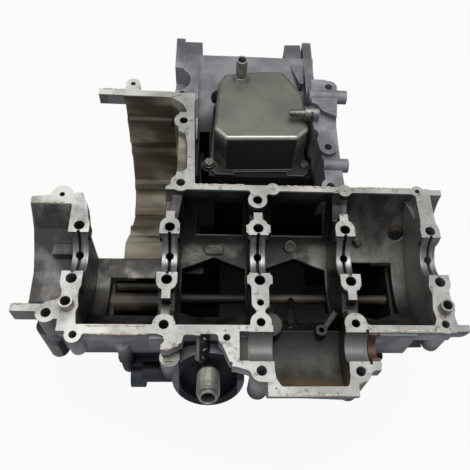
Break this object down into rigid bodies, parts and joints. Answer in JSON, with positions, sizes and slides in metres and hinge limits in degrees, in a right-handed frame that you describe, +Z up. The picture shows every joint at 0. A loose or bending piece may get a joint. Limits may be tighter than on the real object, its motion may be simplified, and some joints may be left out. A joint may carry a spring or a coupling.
{
  "type": "engine crankcase",
  "caption": "Lower crankcase half of an in-line motorcycle engine: cast body with main bearing saddles, clutch bowl, gearbox housing, breather cover and oil pan.",
  "frame": {"origin": "crank axis at the middle main bearing, on the joint face", "axes": "+X to the right along the crank axis as seen from the front, +Y to the gearbox at the rear, +Z up out of the joint face"},
  "size_m": [0.3841, 0.43, 0.184],
  "materials": {
    "cast_aluminium": "die cast, oil stained, machined on the joint face",
    "cover_sheet": "satin olive grey",
    "gasket": "matt black",
    "zinc_steel": "zinc plated",
    "bare_steel": "turned, lightly oiled",
    "bronze": "dull brown",
    "soft_aluminium": "plain",
    "pan_aluminium": "die cast, darkened by oil"
  },
  "bodies": {
    "root": {"crankcase_casting": "cast_aluminium", "breather_cover": "cover_sheet", "breather_cover_gasket": "gasket", "breather_cover_screws": "zinc_steel", "breather_hose_spigot": "cover_sheet", "stop_pin": "bare_steel", "oil_filter_stud": "bare_steel", "dowel_sleeve_left": "bare_steel", "dowel_sleeve_right": "bare_steel", "balancer_end_ring": "bronze", "oil_passage_plug": "zinc_steel", "oil_shelf_plug": "zinc_steel", "oil_jet": "zinc_steel", "side_plug": "zinc_steel", "side_plug_washer": "soft_aluminium", "oil_pan": "pan_aluminium", "oil_pan_gasket": "gasket", "oil_pan_bolts": "zinc_steel", "oil_drain_plug": "zinc_steel", "oil_drain_washer": "soft_aluminium"}
  },
  "joints": []
}
